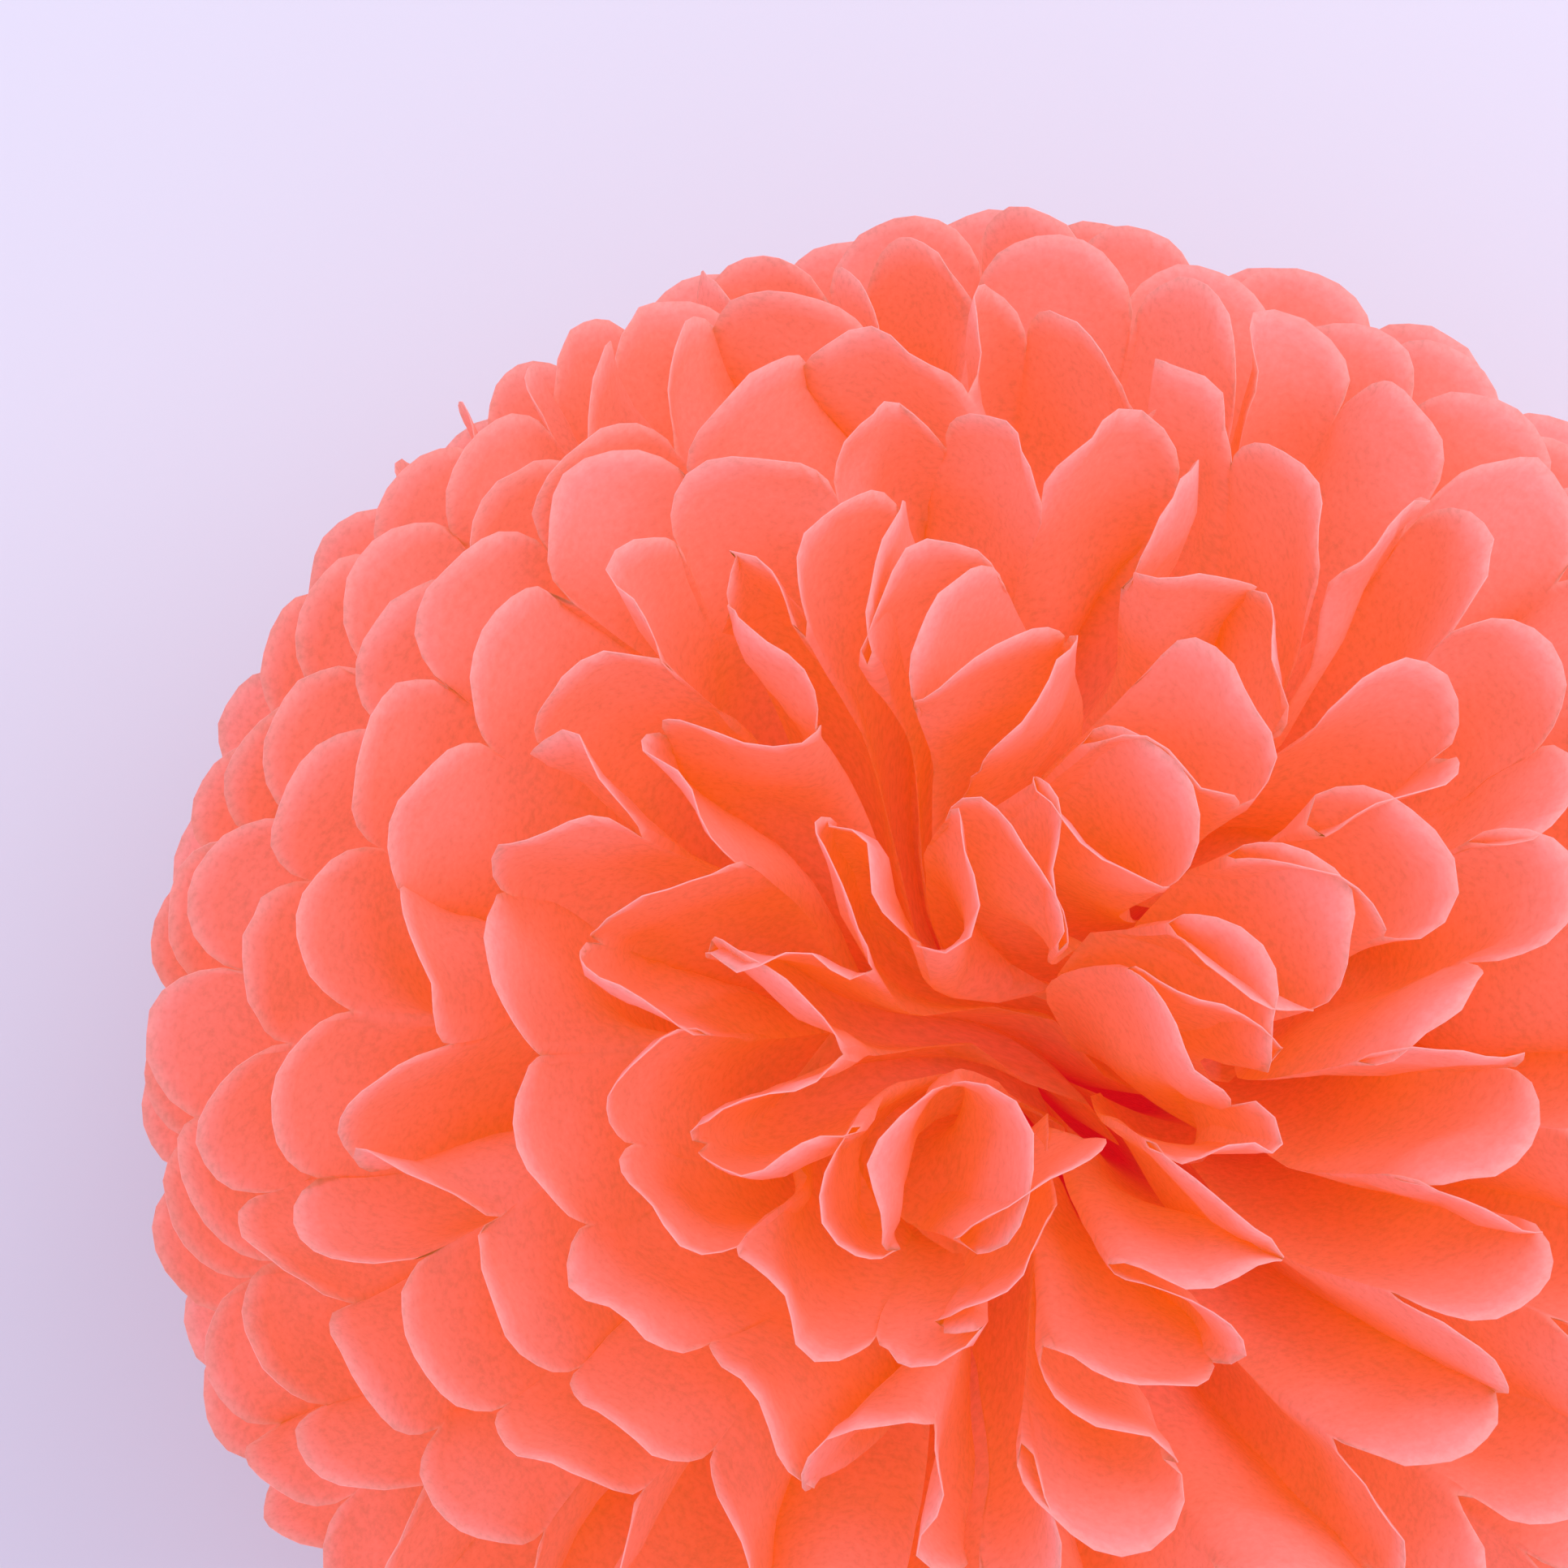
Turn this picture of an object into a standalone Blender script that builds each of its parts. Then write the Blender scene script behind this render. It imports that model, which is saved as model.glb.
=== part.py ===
"""Tissue paper pom pom: sixteen sheets of tissue folded together into one strip of pleats, its ends
cut round, tied at the middle with wire and fluffed out into a ball.

Units are metres and +Z is up. The strip lay along X, so the wire crosses it along Y, and each sheet
opens into two half fans, one to +X and one to -X. The origin is on the ground under the middle of
the ball.
"""

import math

import bmesh
import bpy
from mathutils import Vector

# The paper, as it was folded
STRIP_LENGTH = 0.250  # the folded strip, from one round end to the other
SHEET_WIDTH = 0.374  # a sheet laid flat, measured across its pleats
PLEAT_WIDTH = 0.022  # the pleat that was aimed for; the sheet is folded into the nearest whole number
SCALLOP_DEPTH = 0.011  # how far the round end of a pleat stands out past its creases
PAPER = 0.00025  # thickness that the solids give the tissue

# How the layers are pulled up and down
SHEETS_PER_SIDE = 8  # layers above the tie, and as many below
POLE_HOLLOW = 0.0075  # radius of the hollow that the innermost creases leave at the top
FOOT_PRESS = 0.006  # how much of the ball's radius the ground presses in
HALVES_GAP = 0.0008  # between the two half fans of a sheet, at their rims
DRIFT = math.radians(1.3)  # how far the hand-pulled rims wander from an even spacing
LAYER_TURN = math.radians(7)  # how far whole layers are turned against each other

# The tie
TIE_WIDTH = 0.008  # the strip at the tie, gathered tight
CORE_RADIUS = 0.004  # where the innermost sheet starts to open
LAYER_PITCH = 0.0006  # from one sheet to the next inside the tie
WIRE_DIAMETER = 0.0008
WIRE_CLEARANCE = 0.0003
TWIST_LENGTH = 0.009  # the two wire ends, twisted together
TWIST_PITCH = 0.006

# Steps of the curves
SCALLOP_STEPS = 4  # straight cuts that draw the round end of a pleat
CORNER_STEPS = 3
TWIST_STEPS = 8  # points for each turn of the twist
WIRE_BEVEL_RESOLUTION = 1

# Worked out from the sizes above
PLEATS = max(3, round(SHEET_WIDTH / PLEAT_WIDTH))
PANEL = SHEET_WIDTH / PLEATS
BALL_RADIUS = STRIP_LENGTH / 2
NOTCH_RADIUS = BALL_RADIUS - SCALLOP_DEPTH
CENTRE = Vector((0, 0, BALL_RADIUS - FOOT_PRESS))
STEEPEST = math.radians(89)  # no rim's middle lies past this, short of the pole
WIRE_RADIUS = WIRE_DIAMETER / 2
WAIST_X = WIRE_RADIUS + WIRE_CLEARANCE  # half the length of the neck that lies under the wire
NECK_X = WAIST_X + WIRE_DIAMETER + WIRE_CLEARANCE  # where the half fans start to open


def fan_spread(elevation):
    """Angle that a half fan opens to: half a turn, or less where the sheet is too narrow for it."""
    pitch_circle = NOTCH_RADIUS * math.cos(elevation)
    widest_pleat = 2 * math.asin(min(1.0, PANEL / (2 * pitch_circle)))
    return min(math.pi, PLEATS * widest_pleat)


def swing(elevation):
    """Half the up and down of the zigzag rim, as an angle: what keeps each panel its full width."""
    chord = 2 * NOTCH_RADIUS * math.cos(elevation) * math.sin(fan_spread(elevation) / PLEATS / 2)
    return math.sqrt(max(0.0, PANEL**2 - chord**2)) / 2 / NOTCH_RADIUS


def stacked_rims(gap):
    """Middle elevation of each layer from the equator up, with this gap between zigzags."""
    rims, lowest = [], gap / 2
    for _ in range(SHEETS_PER_SIDE):
        middle = min(lowest, STEEPEST)
        for _ in range(20):
            middle = min(lowest + swing(middle), STEEPEST)
        rims.append(middle)
        lowest = middle + swing(middle) + gap
    return rims


def rim_elevations():
    """Elevations that share the quarter circle evenly, from the equator to the hollow at the pole."""
    highest = math.acos(POLE_HOLLOW / NOTCH_RADIUS)
    narrow, wide = 0.0, highest
    for _ in range(40):
        gap = (narrow + wide) / 2
        top = stacked_rims(gap)[-1]
        if top + swing(top) > highest:
            wide = gap
        else:
            narrow = gap
    return stacked_rims(narrow)


def drifted(azimuth, elevation):
    """The unevenness of layers pulled out by hand. It is one smooth field for all sheets, so that no
    sheet is carried through its neighbour, and it turns the layers a little against each other."""
    rise = math.sin(3 * azimuth + 5 * elevation)
    turn = math.sin(5 * azimuth - 4 * elevation + 1)
    layer_turn = LAYER_TURN * math.sin(3 * elevation)
    fade = math.cos(elevation)
    return azimuth + fade * (DRIFT * turn + layer_turn), elevation + fade * DRIFT * rise


def on_ball(azimuth, elevation, radius):
    return radius * Vector(
        (
            math.cos(elevation) * math.cos(azimuth),
            math.cos(elevation) * math.sin(azimuth),
            math.sin(elevation),
        )
    )


def folds_up(side, crease):
    """Whether a crease of this half fan is folded up. The same creases of the strip are, at both its ends."""
    return (crease if side > 0 else PLEATS - crease) % 2 == 1


def crease_end(side, crease, middle):
    """Rim end of a crease, from the ball's middle: side is 1 towards +X and -1 towards -X."""
    open_angle = HALVES_GAP / (NOTCH_RADIUS * math.cos(middle))
    azimuth = (crease / PLEATS - 0.5) * (fan_spread(middle) - open_angle)
    azimuth += 0 if side > 0 else math.pi
    fold = swing(middle) if folds_up(side, crease) else -swing(middle)
    return on_ball(*drifted(azimuth, middle + fold), NOTCH_RADIUS)


def scallop_points(start, end):
    """The round cut end of one panel, between the rim ends of its two creases."""
    across, outward = end - start, (start + end).normalized()
    points = []
    for step in range(1, SCALLOP_STEPS):
        turn = math.pi * step / SCALLOP_STEPS
        along = (1 - math.cos(turn)) / 2
        points.append(start + along * across + SCALLOP_DEPTH * math.sin(turn) * outward)
    return points


def neck_arc(side, layer, height):
    """Where a half fan leaves the tie: an arc, wider for the outer layers that bend round the inner."""
    radius = CORE_RADIUS + (SHEETS_PER_SIDE - layer) * LAYER_PITCH
    arc = []
    for crease in range(PLEATS + 1):
        azimuth = (crease / PLEATS - 0.5) * math.pi
        x, y = NECK_X + radius * math.cos(azimuth), radius * math.sin(azimuth)
        arc.append(Vector((side * x, side * y, height)))
    return arc


def half_fan(mesh, arc, side, middle):
    """The pleated panels of one half of a sheet, each running from the neck out to its scallop."""
    ends = [crease_end(side, crease, middle) for crease in range(PLEATS + 1)]
    rim = [mesh.verts.new(CENTRE + end) for end in ends]
    for panel in range(PLEATS):
        scallop = [mesh.verts.new(CENTRE + p) for p in scallop_points(ends[panel], ends[panel + 1])]
        mesh.faces.new((rim[panel], *scallop, rim[panel + 1]))
        ridge, valley = (panel, panel + 1) if folds_up(side, panel) else (panel + 1, panel)
        mesh.faces.new((arc[panel], rim[panel], rim[panel + 1], arc[panel + 1]))
        bmesh.ops.connect_verts(mesh, verts=[arc[ridge], rim[valley]])


def sheet_surface(layer, middle, up):
    """One whole sheet as a surface: the gathered neck at the tie with a half fan on each side."""
    mesh = bmesh.new()
    height = CENTRE.z + up * (layer - 0.5) * LAYER_PITCH
    arcs = [[mesh.verts.new(p) for p in neck_arc(side, layer, height)] for side in (1, -1)]
    waist = [
        mesh.verts.new((x * WAIST_X, y * TIE_WIDTH / 2, height))
        for x, y in ((1, 1), (-1, 1), (-1, -1), (1, -1))
    ]
    mesh.faces.new((*arcs[0], *waist[:2], *arcs[1], *waist[2:]))
    for arc, side in zip(arcs, (1, -1)):
        half_fan(mesh, arc, side, up * middle)
    bmesh.ops.recalc_face_normals(mesh, faces=mesh.faces)
    bmesh.ops.triangulate(mesh, faces=mesh.faces)
    return mesh


def placed(name, data, material, collection):
    piece = bpy.data.objects.new(name, data)
    piece.data.materials.append(material)
    collection.objects.link(piece)
    return piece


def pressed_on_ground(piece):
    """Gives the sheet its thickness, then flattens on the ground what would pass through it."""
    bpy.context.view_layer.update()
    depsgraph = bpy.context.evaluated_depsgraph_get()
    solid = bpy.data.meshes.new_from_object(piece.evaluated_get(depsgraph))
    piece.modifiers.clear()
    piece.data = solid
    for vertex in solid.vertices:
        vertex.co.z = max(vertex.co.z, 0.0)


def tissue_sheet(name, layer, middle, up, material, collection):
    surface = sheet_surface(layer, middle, up)
    data = bpy.data.meshes.new(name)
    surface.to_mesh(data)
    surface.free()
    piece = placed(name, data, material, collection)
    thicken = piece.modifiers.new("Solidify", "SOLIDIFY")
    thicken.thickness = PAPER
    thicken.offset = 0
    pressed_on_ground(piece)


def twist_points(phase):
    """One of the two wire ends, winding round the other as both run out along +Y."""
    radius = WIRE_RADIUS + WIRE_CLEARANCE / 3
    start = TIE_WIDTH / 2 + 2 * WIRE_CLEARANCE + 2 * WIRE_DIAMETER
    count = round(TWIST_LENGTH / TWIST_PITCH * TWIST_STEPS)
    points = []
    for step in range(count + 1):
        turn = phase + 2 * math.pi * step / TWIST_STEPS
        y = start + TWIST_PITCH * step / TWIST_STEPS
        points.append(Vector((radius * math.sin(turn), y, radius * math.cos(turn))))
    return points


def loop_points():
    """The wire round the stack of sheets: a rectangle with rounded corners, open at +Y."""
    reach = WIRE_CLEARANCE + WIRE_RADIUS
    corner = 2 * WIRE_RADIUS
    stack = (SHEETS_PER_SIDE - 0.5) * LAYER_PITCH + PAPER / 2
    y, z = TIE_WIDTH / 2 + reach - corner, stack + reach - corner
    points = []
    for quarter, (side_y, side_z) in enumerate(((1, 1), (-1, 1), (-1, -1), (1, -1))):
        for step in range(CORNER_STEPS + 1):
            turn = math.pi / 2 * (quarter + step / CORNER_STEPS)
            round_off = corner * Vector((0, math.cos(turn), math.sin(turn)))
            points.append(Vector((0, side_y * y, side_z * z)) + round_off)
    return points


def tie_wire(material, collection):
    """One wire round the middle of the strip, with its ends twisted together and tucked inside."""
    route = twist_points(0.0)[::-1] + loop_points() + twist_points(math.pi)
    curve = bpy.data.curves.new("tie_wire", "CURVE")
    curve.dimensions = "3D"
    curve.bevel_depth = WIRE_RADIUS
    curve.bevel_resolution = WIRE_BEVEL_RESOLUTION
    curve.use_fill_caps = True
    spline = curve.splines.new("POLY")
    spline.points.add(len(route) - 1)
    for point, place in zip(spline.points, route):
        point.co = (*(CENTRE + place), 1)
    placed("tie_wire", curve, material, collection)


def new_material(name, colour, roughness, metallic):
    material = bpy.data.materials.new(name)
    material.use_nodes = True
    shader = material.node_tree.nodes["Principled BSDF"]
    shader.inputs["Base Color"].default_value = (*colour, 1)
    shader.inputs["Roughness"].default_value = roughness
    shader.inputs["Metallic"].default_value = metallic
    return material


def main():
    for leftover in list(bpy.data.objects):
        bpy.data.objects.remove(leftover, do_unlink=True)
    collection = bpy.data.collections.new("tissue_paper_pom_pom")
    bpy.context.scene.collection.children.link(collection)
    tissue = new_material("coral_tissue", (0.90, 0.13, 0.10), 0.85, 0.0)
    wire = new_material("florist_wire", (0.45, 0.45, 0.44), 0.4, 1.0)

    elevations = rim_elevations()
    count = 2 * SHEETS_PER_SIDE
    for number in range(1, count + 1):
        up = 1 if number <= SHEETS_PER_SIDE else -1
        layer = SHEETS_PER_SIDE + 1 - number if up > 0 else number - SHEETS_PER_SIDE
        name = f"sheet_{number:02d}"
        tissue_sheet(name, layer, elevations[layer - 1], up, tissue, collection)
    tie_wire(wire, collection)


main()
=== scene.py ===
import math

import bmesh
import bpy
import numpy as np
from mathutils import Matrix, Vector


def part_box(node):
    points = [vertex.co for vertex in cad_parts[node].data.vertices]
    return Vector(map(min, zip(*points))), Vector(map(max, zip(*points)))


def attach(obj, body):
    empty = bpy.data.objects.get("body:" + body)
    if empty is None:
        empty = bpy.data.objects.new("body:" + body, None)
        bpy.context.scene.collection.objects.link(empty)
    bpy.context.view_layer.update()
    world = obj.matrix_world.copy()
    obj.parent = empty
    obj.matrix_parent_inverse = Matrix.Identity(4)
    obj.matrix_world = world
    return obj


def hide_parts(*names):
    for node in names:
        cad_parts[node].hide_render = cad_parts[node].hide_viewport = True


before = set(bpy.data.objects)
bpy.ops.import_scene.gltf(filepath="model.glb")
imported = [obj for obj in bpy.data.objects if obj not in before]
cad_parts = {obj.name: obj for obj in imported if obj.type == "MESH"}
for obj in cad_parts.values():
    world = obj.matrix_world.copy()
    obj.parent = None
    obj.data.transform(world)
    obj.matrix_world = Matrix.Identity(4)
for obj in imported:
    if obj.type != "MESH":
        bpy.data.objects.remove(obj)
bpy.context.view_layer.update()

bl_info = {
    "name": "Tissue paper pom pom",
    "version": (1, 0, 0),
    "blender": (4, 5, 0),
    "location": "View3D > Sidebar > Pom pom",
    "description": "Folds, fluffs and lights a ball of pleated tissue sheets",
    "category": "Object",
}

TIE_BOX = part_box("tie_wire")
SHEETS = sorted(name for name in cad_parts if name.startswith("sheet_"))

# How the rims share the quarter circle, from the equator to the pole
LAYERS = len(SHEETS) // 2
CENTRE = Vector((0, 0, (TIE_BOX[0].z + TIE_BOX[1].z) / 2))

# The neck, as the tie gathers it
TIE_WIDTH = 0.008
WAIST_X = 0.0007
NECK_X = 0.0018
CORE_RADIUS = 0.004
LAYER_PITCH = 0.0006

# The fan between the neck and the place where the rims start to spread freely
PLEATED_RADII = (0.015, 0.022, 0.030, 0.040, 0.050)
OPENED = 0.060
WIDEST_SWING = math.radians(30)  # as far as a pleat may swing up or down
POLE_SHARE = 0.93  # how much of the way to the pole a pleat may swing
LAYER_TURN = math.radians(7)  # how far whole layers start out turned against each other
SEAM = 0.0025  # between the two half fans of a sheet
POLE_GAP = 0.012  # radius that the innermost zigzag leaves free round the pole

# The grid of a sheet and the steps of the fluffing
STEPS = 6  # points that each pleat is followed with
SHOTS = 10  # rims kept between OPENED and the notches
COLUMNS = 12  # columns of faces across each pleat
SCALLOP_START = 0.084  # where the rows start to follow the scallops
SCALLOP_ROWS = 9
ROW_CROWDING = 0.9  # under 1, the rows lie closer together towards the cut

# How creases differ from the pleats between them, from the layer at the equator to the innermost:
# the ruffles at the poles were opened so far that their creases are nearly gone
CREASE_STIFFNESS = (0.35, 0.35, 0.35, 0.35, 0.45, 0.6, 0.8, 0.8)
CREASE_FIRMNESS = (1.0, 1.0, 1.0, 1.0, 1.0, 0.8, 0.45, 0.3)
FLUTTER_SHARE = (0.2, 0.2, 0.3, 0.4, 0.6, 0.9, 1.0, 1.0)  # by layer, from the equator inwards
LIMP_FIRMNESS = 0.25  # of the creases that were pulled flat, either way
FIRMNESS_RANGE = (0.1, 2.1)
PATCH_FIRMNESS = 0.75  # how much firmer or softer whole patches of the ball are
CREASE_SPREAD = (0.6, 1.4)  # between single creases

# What a rim point does in one step of the spreading
BENDS = 3
BEND_SHARE = 0.11  # how much of its bend a rim gives way to
PUSH = 0.0009
CLOSE, CLOSE_PUSH = 0.004, 0.002  # a rim pushes much harder when its neighbour is this near
CROWDED = (8, 32)  # degrees from a pole between which a rim's room grows to its full spacing
LOOK_AGAIN, LOOK_MARGIN = 4, 0.002  # steps between two searches for neighbours, and how much further
LENGTH_ROUNDS = 6
STIR_STEP = 0.0004
HOLLOW_PUSH = 0.0014
FURTHEST_MOVE = 0.0008

# The swirls that fingers leave: their widths on the unit sphere, and how hard they turn
WIDE_SWIRLS, WIDE_SWIRL_WIDTHS, WIDE_SWIRL_TURN = 44, (0.11, 0.30), 2.6
POLE_SWIRLS, POLE_SWIRL_WIDTHS, POLE_SWIRL_TURN = 12, (0.09, 0.17), 6.0  # at each pole
POLE_SWIRL_SPREAD = 0.26
BUNDLE_WIDTH, BUNDLE_TURN = 0.085, 9.0
STIRRED_UNTIL = 0.7  # share of the spreading
TURNED_FROM = 0.3
HOLLOW_PLACE = (0.075, -0.05)  # where the open middle of the ball lies beside the pole, as a slope
HOLLOW_REACH = 0.015  # how far it holds the innermost ruffles off
BUNDLES = ((0.155, -0.09), (-0.06, -0.12))  # where the strip's two ends curl most, as slopes too

# How the petals lie
TIP_START = 0.078  # radius where a petal starts to bow out of its plane
SCALLOP_SPREAD = 0.04  # how unevenly the scallops are cut, as a share of their depth
RAGGED = (0.00012, 0.0022)  # height and length of the cut edge's waves
BROAD_CRUMPLE = (0.0004, 0.016)
FINE_CRUMPLE = (0.00012, 0.006)
LEAN_SHARE = 0.6  # how far creases lean out, as a share of the petals' cup
FOLD_PLACES = (0.25, 0.75)  # where a dent crosses a petal, as a share of its width
FLUTTER_WAVES = (0.015, 0.024)
FLUTTER_BAND = 0.022  # along the cut edge
ROLL_BAND = 0.013
ROLL_SPREAD, STRONGEST_ROLL = 0.5, 1.6  # between petals, as shares of the usual roll

# The lamp, seen from the ball: to the right, up and towards the camera in the picture
KEY_WAY = (0.75, 0.55, 0.9)
KEY_DISTANCE, KEY_SIZE = 1.6, 1.3
KEY_COLOUR = "FFF4F2"

# The paper's marks, the painted highlight along its cut and the painted shade of its glow
FIBRE_SIZE = 0.0011
FIBRE_DARKEST = 0.80  # share of the light that the darkest fibres leave
CRUMPLE_SIZE = 0.008
CRUMPLE_DARKEST = 0.93
HIGHLIGHT_BAND = 0.0022  # width of the painted highlight, a paler band along the cut
DEPTHS = (0.025, 0.085)  # from the cut, where the afterglow, a painted glow, starts and ends turning a darker red as painted shade near the tie


class TissueSettings(bpy.types.PropertyGroup):
    """The paper and how it was cut."""

    strip_length: bpy.props.FloatProperty(
        name="Strip length", description="Folded strip, from one round end to the other",
        default=0.250, unit="LENGTH")
    sheet_width: bpy.props.FloatProperty(
        name="Sheet width", description="Sheet laid flat, measured across its pleats",
        default=0.374, unit="LENGTH")
    pleats: bpy.props.IntProperty(
        name="Pleats", description="Pleats across a sheet", default=17)
    scallop_depth: bpy.props.FloatProperty(
        name="Scallop depth", description="How far a pleat's round end stands out past its creases",
        default=0.011, unit="LENGTH")
    thickness: bpy.props.FloatProperty(
        name="Thickness", description="Thickness that the render gives the tissue",
        default=0.00015, unit="LENGTH")
    lit_colour: bpy.props.StringProperty(
        name="Lit colour", description="sRGB colour that the paper throws back", default="F4959B")
    # Painted highlight: the rims are drawn paler in a band along the cut
    edge_highlight_colour: bpy.props.StringProperty(
        name="Edge colour", description="The same at the cut, where the rims look paler", default="F4B4B4")
    through_colour: bpy.props.StringProperty(
        name="Through colour", description="sRGB colour of light that has passed through", default="E68855")
    translucency: bpy.props.FloatProperty(
        name="Translucency", description="Share of the light that passes through the tissue",
        default=0.42, subtype="FACTOR")
    # Painted light: the afterglow is a glow that the paper gives off by itself, orange under the rims and
    # darker red near the tie as painted shade
    afterglow_colour: bpy.props.StringProperty(
        name="Afterglow colour", description="sRGB colour of light that goes on bouncing in the folds",
        default="FF8D1E")
    shaded_glow_colour: bpy.props.StringProperty(
        name="Depth colour", description="What is left of that light near the tie", default="D81E2A")
    afterglow: bpy.props.FloatProperty(
        name="Afterglow", description="Light that has bounced in the folds too often to be followed",
        default=0.42)


class FluffSettings(bpy.types.PropertyGroup):
    """How the layers are pulled apart by hand."""

    seed: bpy.props.IntProperty(name="Seed", description="Draws another ball", default=13)
    steps: bpy.props.IntProperty(name="Steps", description="Steps of the spreading", default=260)
    spacing: bpy.props.FloatProperty(
        name="Spacing", description="How far a rim keeps its neighbours off",
        default=0.015, unit="LENGTH")
    pole_spacing: bpy.props.FloatProperty(
        name="Spacing at the poles", description="The same, where the ruffles crowd at the poles",
        default=0.010, unit="LENGTH")
    fold: bpy.props.FloatProperty(
        name="Fold", description="How hard a crease holds on to its fold", default=0.9)
    limp_share: bpy.props.FloatProperty(
        name="Limp creases", description="Share of creases that were pulled flat",
        default=0.25, subtype="FACTOR")
    warp: bpy.props.FloatProperty(
        name="Warp", description="How much the pleats themselves curl along the rim", default=0.16)
    stir: bpy.props.FloatProperty(
        name="Stir", description="How far fingers have swirled the rims about", default=1.0)
    layer_turn: bpy.props.FloatProperty(
        name="Layer turn", description="How far each layer is turned further while it is pulled up",
        default=math.radians(9), subtype="ANGLE")
    gather: bpy.props.FloatProperty(
        name="Gather", description="How hard the innermost fans stay bunched on the strip's line, each step",
        default=0.00006, unit="LENGTH")
    cup: bpy.props.FloatProperty(
        name="Cup", description="How far a petal's tip bows out of its plane",
        default=0.0018, unit="LENGTH")
    dent: bpy.props.FloatProperty(
        name="Dent", description="How deep the straight dents are that handling left in the petals",
        default=0.0014, unit="LENGTH")
    roll: bpy.props.FloatProperty(
        name="Roll", description="How far the cut edge rolls outwards", default=0.0016, unit="LENGTH")
    flutter: bpy.props.FloatProperty(
        name="Flutter", description="How far the cut edge waves out of the petal",
        default=0.0010, unit="LENGTH")
    sag: bpy.props.FloatProperty(
        name="Sag", description="How far the limpest petals have sunk back into the ball",
        default=0.005, unit="LENGTH")


class StageSettings(bpy.types.PropertyGroup):
    """The floor, the light and the camera."""

    floor_colour: bpy.props.StringProperty(
        name="Floor colour", description="sRGB colour of the floor", default="C8C8C8")
    sky_colour: bpy.props.StringProperty(
        name="Sky colour", description="sRGB colour of the light from all round", default="DDDAFB")
    sky_strength: bpy.props.FloatProperty(
        name="Sky strength", description="Light from all round", default=1.66)
    key_power: bpy.props.FloatProperty(
        name="Key power", description="Power of the large soft lamp", default=12.5, unit="POWER")
    distance: bpy.props.FloatProperty(
        name="Camera distance", description="From the lens to the middle of the ball",
        default=0.69, unit="LENGTH")
    elevation: bpy.props.FloatProperty(
        name="Camera elevation", description="How steeply the camera looks down",
        default=math.radians(84), subtype="ANGLE")
    roll: bpy.props.FloatProperty(
        name="Roll", description="Turn of the ball's strip against the picture's lower edge",
        default=math.radians(-18), subtype="ANGLE")


def settings():
    return bpy.context.scene.pom_pom_tissue, bpy.context.scene.pom_pom_fluff


def unit(vectors):
    return vectors / np.linalg.norm(vectors, axis=-1, keepdims=True)


# The rims


def notch_radius():
    tissue, _ = settings()
    return tissue.strip_length / 2 - tissue.scallop_depth


def rim_middles(panel, pleats, notch):
    """Middle elevation of each layer, so that zigzag rims share the quarter circle evenly."""
    highest = math.acos(POLE_GAP / notch)

    def swing(elevation):
        chord = 2 * notch * math.cos(elevation) * math.sin(math.pi / pleats / 2)
        return math.sqrt(max(0.0, panel**2 - chord**2)) / 2 / notch

    def stacked(gap):
        rims, lowest = [], gap / 2
        for _ in range(LAYERS):
            middle = min(lowest, highest)
            for _ in range(20):
                middle = min(lowest + swing(middle), highest)
            rims.append(middle)
            lowest = middle + swing(middle) + gap
        return rims

    narrow, wide = 0.0, highest
    for _ in range(40):
        gap = (narrow + wide) / 2
        top = stacked(gap)[-1]
        if top + swing(top) > highest:
            wide = gap
        else:
            narrow = gap
    return stacked(narrow)


def ring_pleats(pleats):
    """Pleat number of each point of a ring: out along one half fan and back along the other."""
    half = np.arange(pleats * STEPS + 1) / STEPS
    return np.concatenate([half, half[::-1]])


def pleated_ring(middle, up, radius):
    """Directions of one sheet's rim at this radius, while its pleats still stand in a zigzag."""
    tissue, _ = settings()
    notch, panel = notch_radius(), tissue.sheet_width / tissue.pleats
    pleat = ring_pleats(tissue.pleats)
    half_ring = len(pleat) // 2
    open_angle = SEAM / (notch * math.cos(middle))
    azimuth = (pleat / tissue.pleats - 0.5) * (math.pi - open_angle)
    azimuth[half_ring:] = math.pi - azimuth[half_ring:]
    chord = 2 * radius * math.cos(middle) * math.sin(math.pi / tissue.pleats / 2)
    swing = math.sqrt(max(0.0, panel**2 - chord**2)) / 2 / radius
    swing = min(swing, (math.pi / 2 - middle) * POLE_SHARE, WIDEST_SWING)
    elevation = up * middle + swing * (1 - 2 * np.abs(pleat % 2 - 1))
    level = np.cos(elevation)
    azimuth = azimuth + level * LAYER_TURN * np.sin(3 * elevation)
    return np.stack([level * np.cos(azimuth), level * np.sin(azimuth), np.sin(elevation)], -1)


def near_pairs(rings, reach):
    """Pairs of rim points closer than reach, apart from those that follow each other on a rim."""
    flat = rings.reshape(-1, 3)
    length = rings.shape[1]
    ring, place = np.divmod(np.arange(len(flat)), length)
    square = (flat**2).sum(1)
    found = []
    for start in range(0, len(flat), 1024):
        block = slice(start, start + 1024)
        apart = square[block, None] + square[None, :] - 2 * flat[block] @ flat.T
        first, second = np.nonzero(apart < reach**2)
        first += start
        steps = np.abs(place[first] - place[second])
        follows = (ring[first] == ring[second]) & (np.minimum(steps, length - steps) < STEPS)
        keep = (first < second) & ~follows
        found.append((first[keep], second[keep]))
    return np.concatenate([f for f, _ in found]), np.concatenate([s for _, s in found])


def patchy(rng, way, waves=9):
    """A smooth random value over the ball, about -1 to 1, with patches a few petals wide."""
    total = np.zeros(way.shape[:-1])
    for _ in range(waves):
        total += np.sin(way @ (unit(rng.normal(size=3)) * rng.uniform(3.5, 6.5)) + rng.uniform(0, 7))
    return total / math.sqrt(waves / 2)


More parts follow.
